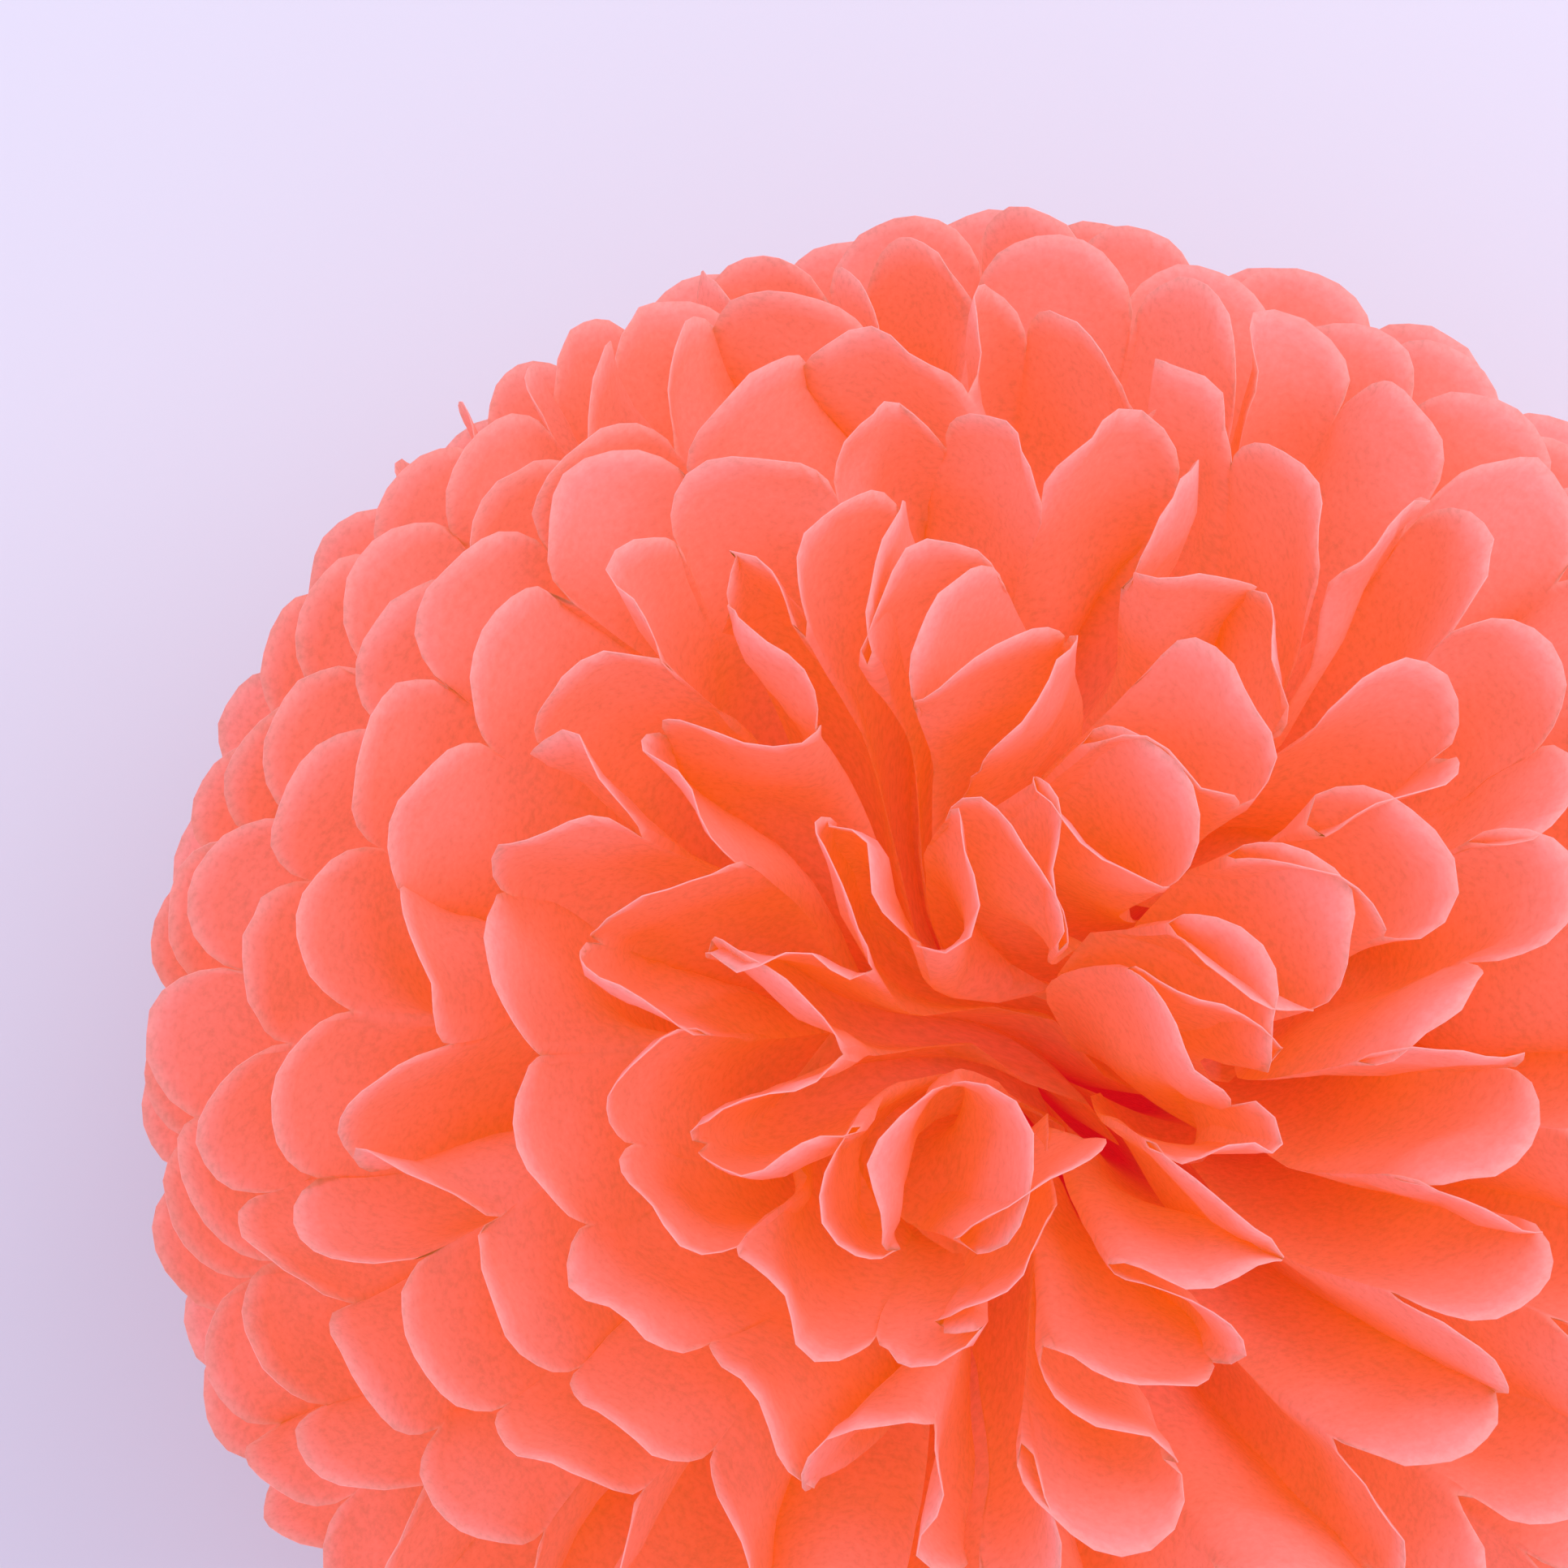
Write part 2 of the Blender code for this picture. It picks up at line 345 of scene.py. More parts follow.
def fold_memory(rng, rings):
    """How hard each rim point wants to bend: creases by their fold, pleats by a slight warp.

    Some patches of the ball were smoothed out by the fingers, and in others the pleats still cling."""
    tissue, fluff = settings()
    count = len(rings)
    pleat = ring_pleats(tissue.pleats)
    number = np.round(pleat).astype(int)
    at_crease = np.isclose(pleat, number)
    firm = np.clip(1.0 + PATCH_FIRMNESS * patchy(rng, unit(rings)), *FIRMNESS_RANGE)
    firm *= rng.uniform(*CREASE_SPREAD, firm.shape)
    limp = rng.random((count, len(pleat))) < fluff.limp_share
    firm = np.where(limp, rng.normal(0, LIMP_FIRMNESS, firm.shape), firm)
    memory = np.where(at_crease, np.where(number % 2 == 1, firm, -firm), 0.0)
    memory *= np.tile(CREASE_FIRMNESS, 2)[:, None]
    panel_of = np.minimum(pleat.astype(int), tissue.pleats - 1)
    panel_of = panel_of + tissue.pleats * (np.arange(len(pleat)) >= len(pleat) // 2)
    warp = rng.normal(0, fluff.warp, (count, 2 * tissue.pleats))
    return memory + np.where(at_crease, 0.0, warp[:, panel_of]), at_crease


def swirls(rng, stir):
    """Places, widths and turns of the swirls: wide ones all over the ball, small ones at its poles.

    The first two at each pole are at the bundles of the strip's ends."""
    small = 2 * POLE_SWIRLS
    ways = rng.normal(size=(WIDE_SWIRLS + small, 3))
    ways[-small:, :2] *= POLE_SWIRL_SPREAD
    ways[-small:, 2] = np.repeat((1, -1), POLE_SWIRLS)
    widths = np.append(rng.uniform(*WIDE_SWIRL_WIDTHS, WIDE_SWIRLS), rng.uniform(*POLE_SWIRL_WIDTHS, small))
    turns = np.append(rng.normal(0, WIDE_SWIRL_TURN, WIDE_SWIRLS), rng.normal(0, POLE_SWIRL_TURN, small))
    for first in (WIDE_SWIRLS, WIDE_SWIRLS + POLE_SWIRLS):
        bundles = slice(first, first + 2)
        ways[bundles, :2] = BUNDLES
        widths[bundles] = BUNDLE_WIDTH
        turns[bundles] = BUNDLE_TURN
    return list(zip(unit(ways), widths, turns * stir))


def bent(rings, memory, stiffness, segment, notch, fold):
    """One step of bending towards the remembered folds."""
    along = unit(np.roll(rings, -1, 1) - np.roll(rings, 1, 1))
    north = np.cross(unit(rings), along)
    bend = np.roll(rings, -1, 1) - 2 * rings + np.roll(rings, 1, 1)
    bend = (bend + memory[..., None] * north * fold * segment) * stiffness[..., None]
    moved = rings + BEND_SHARE * (2 * bend - np.roll(bend, 1, 1) - np.roll(bend, -1, 1))
    return notch * unit(moved)


def pushed_apart(rings, pairs, fluff, notch):
    """How far neighbours push each point, with less room to each rim near the poles."""
    first, second = pairs
    flat = rings.reshape(-1, 3)
    apart = flat[first] - flat[second]
    distance = np.linalg.norm(apart, axis=-1)
    from_pole = np.degrees(np.arccos(np.clip(np.abs(flat[:, 2]) / notch, 0, 1)))
    share = np.clip((from_pole - CROWDED[0]) / (CROWDED[1] - CROWDED[0]), 0, 1)
    reach = fluff.pole_spacing + (fluff.spacing - fluff.pole_spacing) * share
    reach = (reach[first] + reach[second]) / 2
    push = PUSH * np.clip(1 - distance / reach, 0, None) ** 2
    push += CLOSE_PUSH * np.clip(1 - distance / CLOSE, 0, None)
    force = apart * (push / (distance + 1e-9))[:, None]
    moved = [
        np.bincount(first, force[:, axis], len(flat)) - np.bincount(second, force[:, axis], len(flat))
        for axis in range(3)
    ]
    return np.stack(moved, -1).reshape(rings.shape)


def kept_length(rings, rest, held):
    """Pulls every step of each rim back to the paper's length, even and odd steps in turn."""
    for _ in range(LENGTH_ROUNDS):
        for odd in (0, 1):
            turned = np.roll(rings, -odd, 1)
            start, end = turned[:, 0::2], turned[:, 1::2]
            span = end - start
            length = np.linalg.norm(span, axis=-1, keepdims=True)
            mend = 0.5 * (1 - np.roll(rest, -odd, 1)[:, 0::2] / length) * span
            mend *= np.roll(held, -odd, 1)[:, 0::2]
            turned[:, 0::2], turned[:, 1::2] = start + mend, end - mend
            rings = np.roll(turned, odd, 1)
    return rings


def stir(move, rings, stirred, part):
    """Adds the swirls of the fingers, which die down as the fans open."""
    way = unit(rings)
    for centre, width, turn in stirred:
        near = turn * np.exp(-((way - centre) ** 2).sum(-1) / (2 * width**2))
        move += near[..., None] * np.cross(centre, way) * STIR_STEP * (1 - part / STIRRED_UNTIL)


def gather(move, rings, innermost, step):
    """Adds the pull that keeps the innermost fans bunched along the strip."""
    inner = rings[innermost]
    length = rings.shape[1]
    strip_way = np.where(np.arange(length) < length // 2, 1.0, -1.0)
    east = unit(np.cross((0, 0, 1), inner))
    slope = -inner[..., 1] * strip_way / np.hypot(*inner[..., :2].T).T
    move[innermost] += step * slope[..., None] * east


def hold_off(move, rings, hollows):
    """Adds the push that keeps the open middles of the ball open."""
    for hollow in hollows:
        away = rings - hollow
        gone = np.linalg.norm(away, axis=-1, keepdims=True)
        move += away / gone * HOLLOW_PUSH * np.clip(1 - gone / HOLLOW_REACH, 0, None)


def fluffed_rims(middles):
    """The rims of all sheets as the fans open: SHOTS of them, from OPENED to the notches.

    Each rim is a closed chain on the notch sphere. Seen from the middle of the ball a pleat looks
    wide at OPENED and narrows outwards, so the chains shorten from shot to shot and the paper keeps
    its width. The rims push each other apart, which keeps most of them from crossing.
    """
    tissue, fluff = settings()
    notch, panel = notch_radius(), tissue.sheet_width / tissue.pleats
    rng = np.random.default_rng(fluff.seed)
    rings = notch * np.array(
        [pleated_ring(middle, up, OPENED) for up in (1, -1) for middle in middles])
    memory, at_crease = fold_memory(rng, rings)
    stiffness = np.where(at_crease, np.tile(CREASE_STIFFNESS, 2)[:, None], 1.0)
    length = rings.shape[1]
    at_seam = np.isin(np.arange(length), (length // 2 - 1, length - 1))
    held = np.ones(rings.shape[:2] + (1,))
    innermost = [LAYERS - 1, 2 * LAYERS - 1]
    for ring in innermost:
        held[ring, at_seam] = 0
        stiffness[ring, [0, length // 2 - 1, length // 2, length - 1]] = 0
    turns = rng.uniform(-1, 1, (len(rings), 1, 1)) * fluff.layer_turn / fluff.steps
    stirred = swirls(rng, fluff.stir)
    hollows = [notch * unit(np.array((*HOLLOW_PLACE, up))) for up in (1, -1)]
    keep_at = np.round(np.linspace(0, fluff.steps, SHOTS)).astype(int)
    shots = [rings]
    for step in range(1, fluff.steps + 1):
        part = step / fluff.steps
        radius = OPENED + (notch - OPENED) * part
        segment = panel * notch / radius / STEPS
        rest = np.where(at_seam, SEAM, segment)[None, :, None]
        if step % LOOK_AGAIN == 1:
            pairs = near_pairs(rings, fluff.spacing + LOOK_MARGIN)
        for _ in range(BENDS):
            rings = bent(rings, memory, stiffness, segment, notch, fluff.fold)
        move = pushed_apart(rings, pairs, fluff, notch)
        if part < STIRRED_UNTIL:
            stir(move, rings, stirred, part)
        if part > TURNED_FROM:
            move += turns * np.cross((0, 0, 1), rings)
        gather(move, rings, innermost, fluff.gather)
        hold_off(move, rings, hollows)
        size = np.linalg.norm(move, axis=-1, keepdims=True)
        move *= np.minimum(1, FURTHEST_MOVE / (size + 1e-12))
        rings = notch * unit(kept_length(notch * unit(rings + move), rest, held))
        if step in keep_at:
            shots.append(rings)
    return np.array([unit(shot) for shot in shots])


# The sheets


def column_turns():
    """Places of the columns across one pleat, as an angle from crease to crease."""
    return np.pi * np.arange(COLUMNS + 1) / COLUMNS


def panel_smoother():
    """Matrix from a pleat's rim points to its columns: a smooth arch between the two creases."""
    at = np.linspace(0, 1, STEPS + 1)
    across = (1 - np.cos(column_turns())) / 2

    def line(t):
        return np.stack([1 - t, t], 1)

    def arch(t):
        return np.stack([t * (1 - t) * t**power for power in range(4)], 1)

    ends = np.zeros((2, STEPS + 1))
    ends[0, 0] = ends[1, -1] = 1
    return line(across) @ ends + arch(across) @ np.linalg.pinv(arch(at)) @ (
        np.eye(STEPS + 1) - line(at) @ ends)


def in_columns(points, smoother, pleats):
    """Rim points (sections, points, 3) read at the columns of the sheet."""
    panels = [points[:, p * STEPS : (p + 1) * STEPS + 1] for p in range(pleats)]
    columns = [np.einsum("cs,nsk->nck", smoother, panel) for panel in panels]
    inner = [panel[:, :-1] for panel in columns]
    return np.concatenate([*inner, columns[-1][:, -1:]], 1)


def neck_row(side, layer, up, columns):
    """Where a half fan leaves the tie."""
    radius = CORE_RADIUS + (LAYERS - layer) * LAYER_PITCH
    turn = (np.linspace(0, 1, columns) - 0.5) * math.pi
    x = side * (NECK_X + radius * np.cos(turn))
    return np.stack([x, radius * np.sin(turn), np.full(columns, up * (layer - 0.5) * LAYER_PITCH)], -1)


def smooth_noise(rng, places, height, wavelength, waves=14):
    """A smooth random height over flat places, from waves of about this height and length."""
    total = np.zeros(places.shape[:-1])
    for _ in range(waves):
        turn = rng.uniform(0, 2 * math.pi)
        number = 2 * math.pi / (wavelength * rng.uniform(0.7, 1.5))
        way = number * np.array([math.cos(turn), math.sin(turn)])
        total += np.sin(places @ way + rng.uniform(0, 2 * math.pi))
    return height * total / math.sqrt(waves / 2)


def petal_rows(radii, edge):
    """Radius of each point of a half fan: circles first, then rows that follow the scallops."""
    inner = radii[radii < SCALLOP_START - 1e-6]
    share = np.linspace(0, 1, SCALLOP_ROWS) ** ROW_CROWDING
    return np.concatenate([
        np.repeat(inner[:, None], len(edge), 1),
        SCALLOP_START + (edge - SCALLOP_START)[None, :] * share[:, None],
    ])


def on_sections(sections, radii, radius):
    """Places at these radii, read between the sections of the fan."""
    low = np.clip(np.searchsorted(radii, radius, side="right") - 1, 0, len(radii) - 2)
    part = np.clip((radius - radii[low]) / (radii[low + 1] - radii[low]), 0, 1)[..., None]
    column = np.arange(sections.shape[1])[None, :]
    way = unit(sections[low, column] * (1 - part) + sections[low + 1, column] * part)
    return way * radius[..., None], way


def openness(places):
    """The way across the petals at each point, and how open the folds are there.

    It is 1 on a flat petal and nears 0 where two pleats meet."""
    run = np.gradient(places, axis=1)
    steps = np.linalg.norm(np.diff(places, axis=1), axis=-1)
    opened = np.ones(places.shape[:2])
    opened[:, 1:-1] = 2 * np.linalg.norm(run, axis=-1)[:, 1:-1] / (steps[:, 1:] + steps[:, :-1])
    return run, opened


def between_creases(values, panel_of, across_share):
    """Values at the creases, read straight across the petals between them."""
    return values[panel_of] * (1 - across_share) + values[panel_of + 1] * across_share


def half_fan_rows(rng, shots, layer, up, side, smoother, middle):
    """Places and flat lengths of one half fan, row by row from the neck out to the scallops."""
    tissue, fluff = settings()
    pleats, notch = tissue.pleats, notch_radius()
    half = pleats * STEPS + 1
    pick = slice(0, half) if side > 0 else slice(2 * half - 1, half - 1, -1)
    pleated = np.array([pleated_ring(middle, up, radius) for radius in PLEATED_RADII])
    radii = np.concatenate([PLEATED_RADII, np.linspace(OPENED, notch, SHOTS)])
    sections = in_columns(np.concatenate([pleated[:, pick], shots[:, pick]]), smoother, pleats)
    columns = sections.shape[1]

    turn = np.append(np.tile(column_turns()[:-1], pleats), math.pi)
    panel_of = np.minimum(np.arange(columns) // COLUMNS, pleats - 1)
    arch = np.abs(np.sin(turn))
    across_share = (1 - np.cos(turn)) / 2
    across = (panel_of + across_share) * tissue.sheet_width / pleats
    depth = tissue.scallop_depth * (1 + rng.normal(0, SCALLOP_SPREAD, pleats))[panel_of]
    ragged = smooth_noise(rng, np.stack([across, 0 * across], -1), *RAGGED)
    edge = notch + depth * arch + ragged
    radius = petal_rows(radii, edge)
    places, way = on_sections(sections, radii, radius)
    run, opened = openness(places)

    # Bowed, leaning and folded petals
    tip = np.clip((radius - TIP_START) / (tissue.strip_length / 2 - TIP_START), 0, 1)
    bow = rng.normal(0, fluff.cup, pleats)
    lean = rng.normal(0.0, LEAN_SHARE * fluff.cup, pleats + 1)
    fold_at = rng.uniform(*FOLD_PLACES, pleats)[panel_of]
    folded = np.minimum(across_share / fold_at, (1 - across_share) / (1 - fold_at))
    folded = folded * rng.normal(0, fluff.dent, pleats)[panel_of]
    out = (bow[panel_of] * arch + between_creases(lean, panel_of, across_share) + folded) * tip**2

    # Crumpled paper, a fluttering edge and the roll of the cut
    paper = np.stack([np.broadcast_to(across, radius.shape), radius], -1)
    out += tip * (smooth_noise(rng, paper, *BROAD_CRUMPLE) + smooth_noise(rng, paper, *FINE_CRUMPLE))
    flutter = rng.normal(0, fluff.flutter * FLUTTER_SHARE[layer - 1], pleats)[panel_of]
    flutter = flutter * np.sin(2 * math.pi * across / rng.uniform(*FLUTTER_WAVES) + rng.uniform(0, 6))
    out += flutter * np.clip(1 - (edge - radius) / FLUTTER_BAND, 0, 1) ** 1.5 * arch
    roll = fluff.roll * up * np.clip(1 + ROLL_SPREAD * rng.normal(size=pleats), 0, STRONGEST_ROLL)[panel_of]
    out -= roll * np.clip(1 - (edge - radius) / ROLL_BAND, 0, 1) ** 2 * arch

    sag = between_creases(fluff.sag * rng.random(pleats + 1) ** 2, panel_of, across_share)
    normal = unit(np.cross(way, run))
    places = places - way * (sag * tip**2)[..., None] + normal * (out * opened)[..., None]
    flat = np.stack([np.broadcast_to(across, radius.shape), side * radius, edge - radius], -1)

    neck = neck_row(side, layer, up, columns)[None]
    neck_length = NECK_X + CORE_RADIUS
    neck_flat = np.stack([across, np.full(columns, side * neck_length), edge - neck_length], -1)[None]
    return np.concatenate([neck, places]), np.concatenate([neck_flat, flat])


def waist_row(side, layer, up, across):
    """The sheet where it passes under the wire."""
    tissue, _ = settings()
    y = (across / tissue.sheet_width - 0.5) * TIE_WIDTH
    height = up * (layer - 0.5) * LAYER_PITCH
    row = np.stack([np.full(len(y), side * WAIST_X), y, np.full(len(y), height)], -1)
    flat = [across, np.full(len(y), side * WAIST_X), np.full(len(y), tissue.strip_length / 2)]
    return row[None], np.stack(flat, -1)[None]


def resting(places):
    """Bends what would reach below the ground, the lowest furthest, and keeps the order."""
    soft = 0.003
    height = places[..., 2] + CENTRE.z
    bent_up = soft * np.exp(np.minimum(height - soft, 0) / soft)
    places[..., 2] = np.where(height < soft, bent_up, height) - CENTRE.z
    return places


def folded_sheet(name, rng, shots, layer, up, middle, material):
    """One sheet: a flat grid, cut to its outline and carried to its folded place."""
    tissue, _ = settings()
    smoother = panel_smoother()
    right, right_flat = half_fan_rows(rng, shots, layer, up, 1, smoother, middle)
    left, left_flat = half_fan_rows(rng, shots, layer, up, -1, smoother, middle)
    across = right_flat[0, :, 0]
    waists = [waist_row(side, layer, up, across) for side in (-1, 1)]
    places = np.concatenate([left[::-1], waists[0][0], waists[1][0], right])
    flat = np.concatenate([left_flat[::-1], waists[0][1], waists[1][1], right_flat])
    places = resting(places) + np.array(CENTRE)

    grid = bmesh.new()
    rows, columns = places.shape[:2]
    bmesh.ops.create_grid(grid, x_segments=columns - 1, y_segments=rows - 1, size=1)
    if up < 0:
        bmesh.ops.reverse_faces(grid, faces=grid.faces)
    data = bpy.data.meshes.new(name)
    grid.to_mesh(data)
    grid.free()
    data.vertices.foreach_set("co", places.astype(np.float32).ravel())
    corner = np.empty(len(data.loops), np.int32)
    data.loops.foreach_get("vertex_index", corner)
    paper = data.uv_layers.new(name="paper")
    paper.data.foreach_set("uv", flat.reshape(-1, 3)[corner, :2].astype(np.float32).ravel())
    from_cut = data.attributes.new("from_cut", "FLOAT", "POINT")
    from_cut.data.foreach_set("value", flat[..., 2].astype(np.float32).ravel())
    data.shade_smooth()
    data.set_sharp_from_angle(angle=math.radians(38))
    data.update()
    piece = bpy.data.objects.new(name, data)
    bpy.context.scene.collection.objects.link(piece)
    data.materials.append(material)
    thicken = piece.modifiers.new("Solidify", "SOLIDIFY")
    thicken.thickness = tissue.thickness
    thicken.offset = 0
    return piece


# Materials


def linear(code):
    """Linear colour of an sRGB hex value."""
    parts = [int(code[i : i + 2], 16) / 255 for i in (0, 2, 4)]
    return (*[p / 12.92 if p <= 0.04045 else ((p + 0.055) / 1.055) ** 2.4 for p in parts], 1)


def add(tree, kind, values=(), links=(), **options):
    """Adds a node with its settings, socket values and links from other nodes' sockets."""
    node = tree.nodes.new(kind)
    for option, value in options.items():
        setattr(node, option, value)
    for socket, value in dict(values).items():
        node.inputs[socket].default_value = value
    for socket, source in dict(links).items():
        tree.links.new(source, node.inputs[socket])
    return node


def empty_material(name):
    material = bpy.data.materials.new(name)
    material.use_nodes = True
    material.node_tree.nodes.clear()
    return material, material.node_tree


def tissue_material():
    """Dyed tissue paper: soft fibres and no coating give it a matt face, and it is thin enough to glow
    where light comes from behind. Each layer that light passes or bounces from takes out more blue and
    green, so the depths turn orange red while the rims stay pink.

    The afterglow is painted light: the paper glows by itself, though it is no lamp. It stands for red light
    that bounces in the folds more often than the renderer follows it, and it turns a darker red towards the
    tie as painted shade.
    The paler band along the cut is a painted highlight."""
    tissue, _ = settings()
    material, tree = empty_material("dyed_tissue_paper")
    paper = add(tree, "ShaderNodeUVMap", uv_map="paper").outputs["UV"]
    fibre = add(tree, "ShaderNodeTexNoise", {"Scale": 1 / FIBRE_SIZE, "Detail": 2.0, "Roughness": 0.7},
                {"Vector": paper})
    crumple = add(tree, "ShaderNodeTexNoise", {"Scale": 1 / CRUMPLE_SIZE, "Detail": 2.0}, {"Vector": paper})

    mottle = add(tree, "ShaderNodeMapRange",
                 {"From Min": 0.3, "From Max": 0.7, "To Min": FIBRE_DARKEST, "To Max": 1.0},
                 {"Value": fibre.outputs["Fac"]})
    tone = add(tree, "ShaderNodeMapRange",
               {"From Min": 0.3, "From Max": 0.7, "To Min": CRUMPLE_DARKEST, "To Max": 1.0},
               {"Value": crumple.outputs["Fac"]})
    shade = add(tree, "ShaderNodeMath", {}, {0: mottle.outputs[0], 1: tone.outputs[0]},
                operation="MULTIPLY")
    from_cut = add(tree, "ShaderNodeAttribute", attribute_name="from_cut").outputs["Fac"]
    # Painted highlight: towards the cut the paper's colour turns to the paler edge colour
    inward = add(tree, "ShaderNodeMapRange", {"From Min": 0.0, "From Max": HIGHLIGHT_BAND}, {"Value": from_cut})
    dye_and_edge_highlight = add(tree, "ShaderNodeMix", {"A": linear(tissue.edge_highlight_colour), "B": linear(tissue.lit_colour)},
              {"Factor": inward.outputs[0]}, data_type="RGBA")
    lit = add(tree, "ShaderNodeVectorMath", {}, {0: dye_and_edge_highlight.outputs["Result"], "Scale": shade.outputs[0]},
              operation="SCALE")
    through = add(tree, "ShaderNodeVectorMath", {0: linear(tissue.through_colour)[:3]},
                  {"Scale": shade.outputs[0]}, operation="SCALE")

    # Painted glow, orange near the cut and darker red towards the tie as painted shade
    depth = add(tree, "ShaderNodeMapRange", {"From Min": DEPTHS[0], "From Max": DEPTHS[1]},
                {"Value": from_cut})
    afterglow = add(tree, "ShaderNodeMix", {"A": linear(tissue.afterglow_colour),
                                            "B": linear(tissue.shaded_glow_colour)},
                    {"Factor": depth.outputs[0]}, data_type="RGBA")
    face = add(tree, "ShaderNodeBsdfPrincipled",
               {"Roughness": 0.85, "IOR": 1.45, "Specular IOR Level": 0.25,
                "Emission Strength": tissue.afterglow},
               {"Base Color": lit.outputs[0], "Emission Color": afterglow.outputs["Result"]})
    glow = add(tree, "ShaderNodeBsdfTranslucent", {}, {"Color": through.outputs[0]})
    mixed = add(tree, "ShaderNodeMixShader", {0: tissue.translucency},
                {1: face.outputs["BSDF"], 2: glow.outputs["BSDF"]})
    add(tree, "ShaderNodeOutputMaterial", {}, {"Surface": mixed.outputs[0]})
    material.cycles.emission_sampling = "NONE"  # the glow is everywhere, so no ray needs aiming at it
    return material


def wire_material():
    """Annealed florist's wire: drawn soft steel, dull grey, with fine marks along its length."""
    material, tree = empty_material("annealed_steel_wire")
    place = add(tree, "ShaderNodeTexCoord").outputs["Object"]
    marks = add(tree, "ShaderNodeTexNoise", {"Scale": 1 / 0.0006, "Detail": 3.0}, {"Vector": place})
    tint = add(tree, "ShaderNodeValToRGB", {}, {"Fac": marks.outputs["Fac"]})
    tint.color_ramp.elements[0].color = linear("8E8C88")
    tint.color_ramp.elements[1].color = linear("B4B2AE")
    rough = add(tree, "ShaderNodeMapRange", {"To Min": 0.32, "To Max": 0.55},
                {"Value": marks.outputs["Fac"]})
    metal = add(tree, "ShaderNodeBsdfPrincipled", {"Metallic": 1.0},
                {"Base Color": tint.outputs["Color"], "Roughness": rough.outputs[0]})
    add(tree, "ShaderNodeOutputMaterial", {}, {"Surface": metal.outputs["BSDF"]})
    return material


def floor_material(colour):
    """Matt painted board, without a visible grain."""
    material, tree = empty_material("matt_board")
    board = add(tree, "ShaderNodeBsdfPrincipled",
                {"Base Color": linear(colour), "Roughness": 0.9, "Specular IOR Level": 0.1})
    add(tree, "ShaderNodeOutputMaterial", {}, {"Surface": board.outputs["BSDF"]})
    return material


# Operators


class POMPOM_OT_tissue_sheets(bpy.types.Operator):
    """Folds the sixteen sheets, pulls their rims apart and gives them their paper"""

    bl_idname = "pompom.tissue_sheets"
    bl_label = "Tissue sheets"

    def execute(self, context):
        tissue, fluff = settings()
        panel = tissue.sheet_width / tissue.pleats
        middles = rim_middles(panel, tissue.pleats, notch_radius())
        shots = fluffed_rims(middles)
        material = tissue_material()
        rng = np.random.default_rng(fluff.seed + 1)
        for node in SHEETS:
            number = int(node.split("_")[1])
            up = 1 if number <= LAYERS else -1
            layer = LAYERS + 1 - number if up > 0 else number - LAYERS
            ring = layer - 1 + (0 if up > 0 else LAYERS)
            piece = folded_sheet(f"tissue_{number:02d}", rng, shots[:, ring], layer, up,
                                 middles[layer - 1], material)
            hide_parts(node)
            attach(piece, "root")
        return {"FINISHED"}


class POMPOM_OT_tie_wire(bpy.types.Operator):
    """Gives the tie wire its steel"""

    bl_idname = "pompom.tie_wire"
    bl_label = "Tie wire"

    def execute(self, context):
        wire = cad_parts["tie_wire"]
        wire.data.materials.clear()
        wire.data.materials.append(wire_material())
        return {"FINISHED"}


class POMPOM_OT_stage(bpy.types.Operator):
    """Lays the floor, hangs the lamps and sets the camera over the ball"""

    bl_idname = "pompom.stage"
    bl_label = "Stage"

    def execute(self, context):
        stage = context.scene.pom_pom_stage
        lay_floor(stage)
        light_scene(context.scene, stage)
        set_camera(context.scene, stage)
        return {"FINISHED"}


def lay_floor(stage):
    grid = bmesh.new()
    bmesh.ops.create_grid(grid, x_segments=1, y_segments=1, size=8)
    data = bpy.data.meshes.new("floor")
    grid.to_mesh(data)
    grid.free()
    data.materials.append(floor_material(stage.floor_colour))
    floor = bpy.data.objects.new("floor", data)
    bpy.context.scene.collection.objects.link(floor)


def lamp(name, direction, distance, size, power, colour):
    """A square soft lamp that faces the ball's middle and isn't seen itself."""
    data = bpy.data.lights.new(name, "AREA")
    data.shape = "SQUARE"
    data.size = size
    data.energy = power
    data.color = linear(colour)[:3]
    lamp_object = bpy.data.objects.new(name, data)
    away = Vector(direction).normalized()
    lamp_object.location = CENTRE + away * distance
    lamp_object.rotation_euler = away.to_track_quat("Z", "Y").to_euler()
    lamp_object.visible_camera = False
    bpy.context.scene.collection.objects.link(lamp_object)


def picture_axes(stage):
    """The picture's right and up, and the way from the ball to the camera."""
    flat_right = Vector((math.cos(stage.roll), -math.sin(stage.roll), 0))
    flat_up = Vector((math.sin(stage.roll), math.cos(stage.roll), 0))
    back = flat_up * -math.cos(stage.elevation) + Vector((0, 0, math.sin(stage.elevation)))
    return flat_right, back.cross(flat_right), back


def light_scene(scene, stage):
    scene.view_settings.view_transform = "Standard"
    world = bpy.data.worlds.new("pale_room")
    scene.world = world
    world.use_nodes = True
    sky = world.node_tree.nodes["Background"]
    sky.inputs["Color"].default_value = linear(stage.sky_colour)
    sky.inputs["Strength"].default_value = stage.sky_strength
    right, up, back = picture_axes(stage)
    from_ball = right * KEY_WAY[0] + up * KEY_WAY[1] + back * KEY_WAY[2]
    lamp("key_lamp", from_ball, KEY_DISTANCE, KEY_SIZE, stage.key_power, KEY_COLOUR)


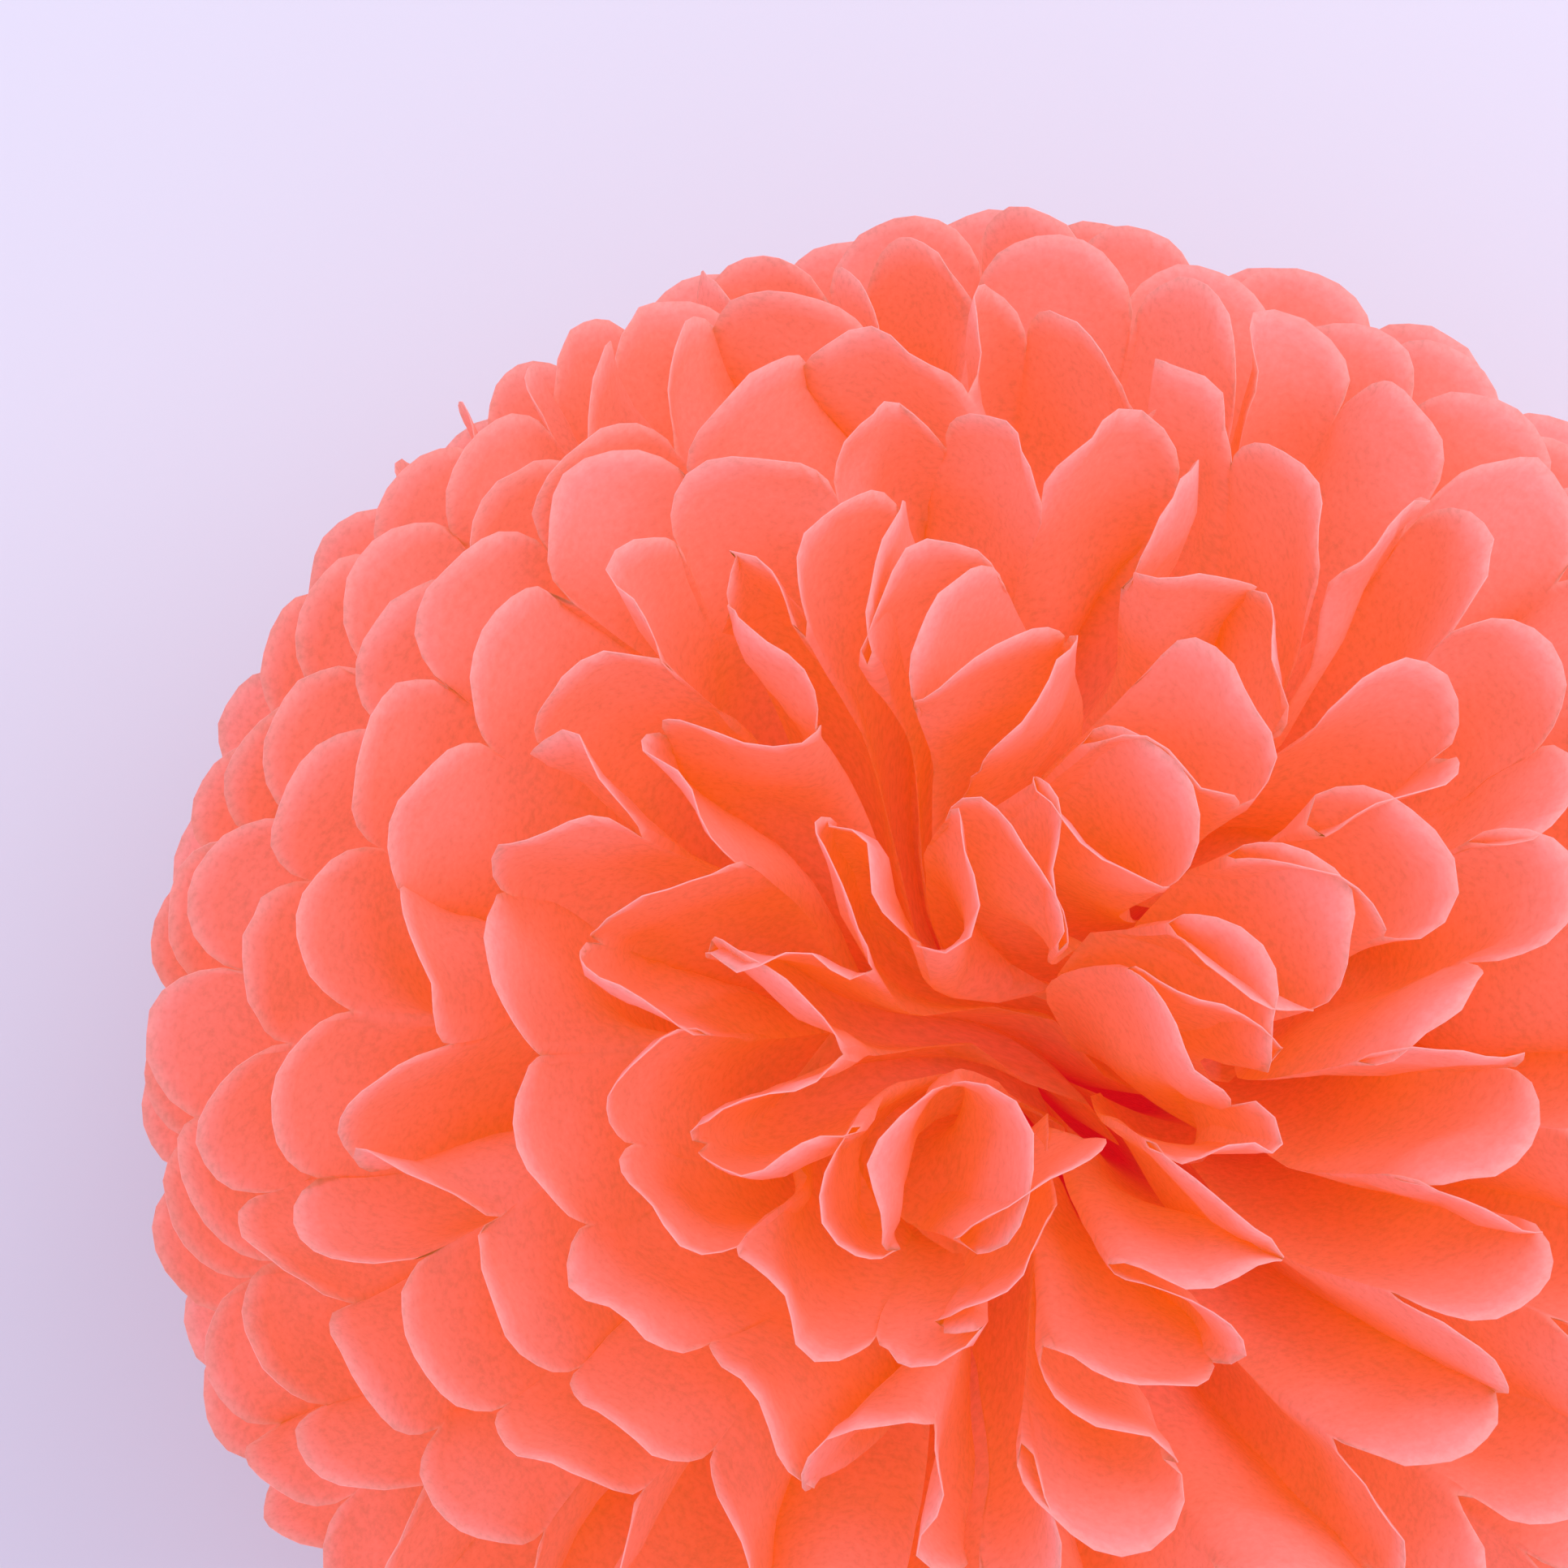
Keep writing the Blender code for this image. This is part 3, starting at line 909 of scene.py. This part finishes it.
def set_camera(scene, stage):
    """The camera looks down on the ball, which sits right of and below the middle of the picture."""
    picture_width = 1932
    ball_pixel = (1230, 1320)
    lens_pixels = 5839  # focal length in picture pixels, from the ball's size in the picture
    right, up, back = picture_axes(stage)
    scale = stage.distance / lens_pixels
    middle = picture_width / 2
    aim = CENTRE - right * (ball_pixel[0] - middle) * scale + up * (ball_pixel[1] - middle) * scale
    data = bpy.data.cameras.new("camera")
    data.sensor_width = 36
    data.lens = 36 * lens_pixels / picture_width
    camera = bpy.data.objects.new("camera", data)
    camera.location = CENTRE + back * stage.distance
    to_camera = (camera.location - aim).normalized()
    x_axis = up.cross(to_camera).normalized()
    turn = Matrix((x_axis, to_camera.cross(x_axis), to_camera)).transposed()
    camera.rotation_euler = turn.to_euler()
    scene.collection.objects.link(camera)
    scene.camera = camera


class POMPOM_PT_panel(bpy.types.Panel):
    """Pom pom settings"""

    bl_label = "Pom pom"
    bl_idname = "POMPOM_PT_panel"
    bl_space_type = "VIEW_3D"
    bl_region_type = "UI"
    bl_category = "Pom pom"

    def draw(self, context):
        for group in (context.scene.pom_pom_tissue, context.scene.pom_pom_fluff,
                      context.scene.pom_pom_stage):
            box = self.layout.box()
            for name in group.__annotations__:
                box.prop(group, name)
        for operator in (POMPOM_OT_tissue_sheets, POMPOM_OT_tie_wire, POMPOM_OT_stage):
            self.layout.operator(operator.bl_idname)


CLASSES = (TissueSettings, FluffSettings, StageSettings, POMPOM_OT_tissue_sheets,
           POMPOM_OT_tie_wire, POMPOM_OT_stage, POMPOM_PT_panel)


def register():
    for cls in CLASSES:
        bpy.utils.register_class(cls)
    bpy.types.Scene.pom_pom_tissue = bpy.props.PointerProperty(type=TissueSettings)
    bpy.types.Scene.pom_pom_fluff = bpy.props.PointerProperty(type=FluffSettings)
    bpy.types.Scene.pom_pom_stage = bpy.props.PointerProperty(type=StageSettings)


def unregister():
    del bpy.types.Scene.pom_pom_stage
    del bpy.types.Scene.pom_pom_fluff
    del bpy.types.Scene.pom_pom_tissue
    for cls in reversed(CLASSES):
        bpy.utils.unregister_class(cls)


def main():
    register()
    bpy.ops.pompom.tissue_sheets()
    bpy.ops.pompom.tie_wire()
    bpy.ops.pompom.stage()


if __name__ == "__main__":
    main()
